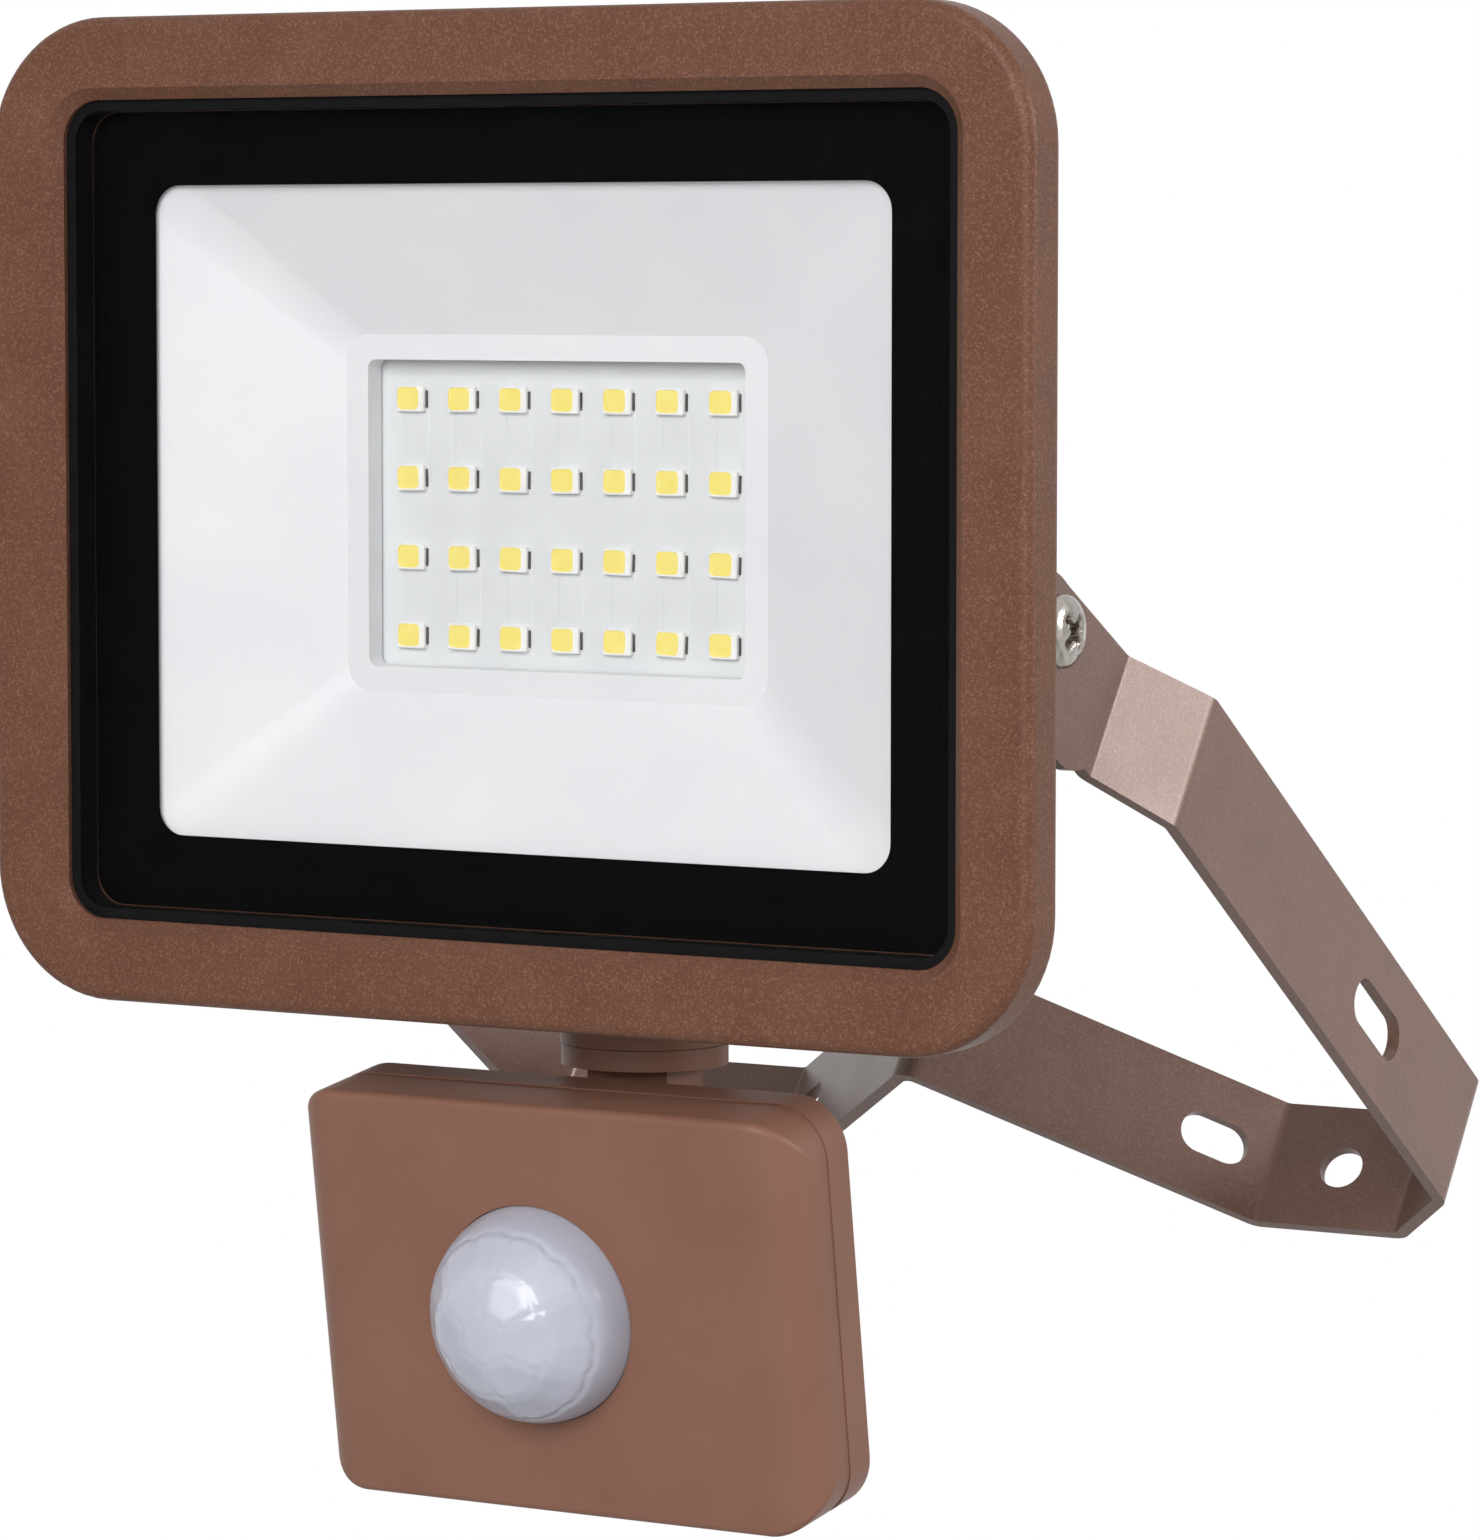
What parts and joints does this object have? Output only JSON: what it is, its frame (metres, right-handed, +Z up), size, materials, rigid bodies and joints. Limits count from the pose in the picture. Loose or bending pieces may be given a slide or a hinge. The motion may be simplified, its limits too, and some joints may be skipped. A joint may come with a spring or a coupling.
{
  "type": "motion sensor security light",
  "caption": "Slim rectangular LED flood lamp tilting on a bent strap wall bracket, with a swivelling motion sensor head on a short neck below it.",
  "frame": {"origin": "midway between the two round wall holes of the bracket, on the face that lies on the wall", "axes": "+Y into the wall, +Z up, +X to the right for someone who looks at the wall"},
  "size_m": [0.132, 0.1783, 0.1355],
  "materials": {
    "powder_coat_steel": "satin",
    "powder_coat_cast": "satin",
    "black_silicone": "matte",
    "clear_glass": "gloss",
    "white_plastic": "satin",
    "white_board": "matte",
    "led_phosphor": "matte",
    "grey_silicone": "matte",
    "plated_steel": "satin",
    "green_board": "satin",
    "dark_plastic": "satin",
    "capacitor_can": "satin",
    "green_plastic": "satin",
    "black_plastic": "satin",
    "nylon": "satin",
    "brown_plastic": "satin",
    "milky_lens": "satin",
    "blue_plastic": "satin"
  },
  "bodies": {
    "bracket": {"mounting_bracket": "powder_coat_steel"},
    "lamp": {"housing": "powder_coat_cast", "glass_seal": "black_silicone", "front_glass": "clear_glass", "reflector": "white_plastic", "led_board": "white_board", "led_chips": "led_phosphor", "thermal_pad": "grey_silicone", "board_screws": "plated_steel", "driver_board": "green_board", "driver_transformer": "dark_plastic", "driver_capacitor": "capacitor_can", "terminal_block": "green_plastic", "driver_screws": "plated_steel", "rear_cover": "powder_coat_cast", "rear_cover_seal": "black_silicone", "rear_cover_screws": "plated_steel", "cable_gland": "black_plastic", "gland_bush": "black_silicone", "gland_dome_nut": "black_plastic", "gland_lock_nut": "black_plastic", "pivot_washers": "nylon", "pivot_screws": "plated_steel", "neck_collar": "brown_plastic", "neck_seal": "black_silicone", "neck_nut": "black_plastic"},
    "swivel": {"swivel_fork": "brown_plastic", "swivel_ring": "plated_steel", "tilt_screw": "plated_steel", "tilt_nut": "plated_steel"},
    "sensor": {"sensor_front_case": "brown_plastic", "sensor_rear_case": "brown_plastic", "sensor_lens": "milky_lens", "sensor_board": "green_board", "pir_element": "capacitor_can", "sensor_relay": "dark_plastic", "sensor_capacitor": "dark_plastic", "sensor_case_screws": "plated_steel", "dial_trimmers": "blue_plastic"},
    "time_dial": {"time_dial": "black_plastic"},
    "light_dial": {"light_dial": "black_plastic"},
    "range_dial": {"range_dial": "black_plastic"}
  },
  "joints": [
    {"name": "lamp_tilt", "type": "hinge", "parent": "bracket", "child": "lamp", "pos_m": [0, -0.1225, 0], "axis": [1, 0, 0], "range_deg": [-70, 18]},
    {"name": "sensor_pan", "type": "hinge", "parent": "lamp", "child": "swivel", "pos_m": [0, -0.07984, -0.04382], "axis": [0, -0.5764, 0.8171], "range_deg": [-90, 90]},
    {"name": "sensor_tilt", "type": "hinge", "parent": "swivel", "child": "sensor", "pos_m": [0, -0.07984, -0.04382], "axis": [1, 0, 0], "range_deg": [-1, 40]},
    {"name": "time_setting", "type": "hinge", "parent": "sensor", "child": "time_dial", "pos_m": [-0.013, -0.07022, -0.06158], "axis": [0, 0.7254, 0.6884], "range_deg": [-135, 135]},
    {"name": "light_setting", "type": "hinge", "parent": "sensor", "child": "light_dial", "pos_m": [0, -0.07022, -0.06158], "axis": [0, 0.7254, 0.6884], "range_deg": [-135, 135]},
    {"name": "range_setting", "type": "hinge", "parent": "sensor", "child": "range_dial", "pos_m": [0.013, -0.07022, -0.06158], "axis": [0, 0.7254, 0.6884], "range_deg": [-135, 135]}
  ]
}
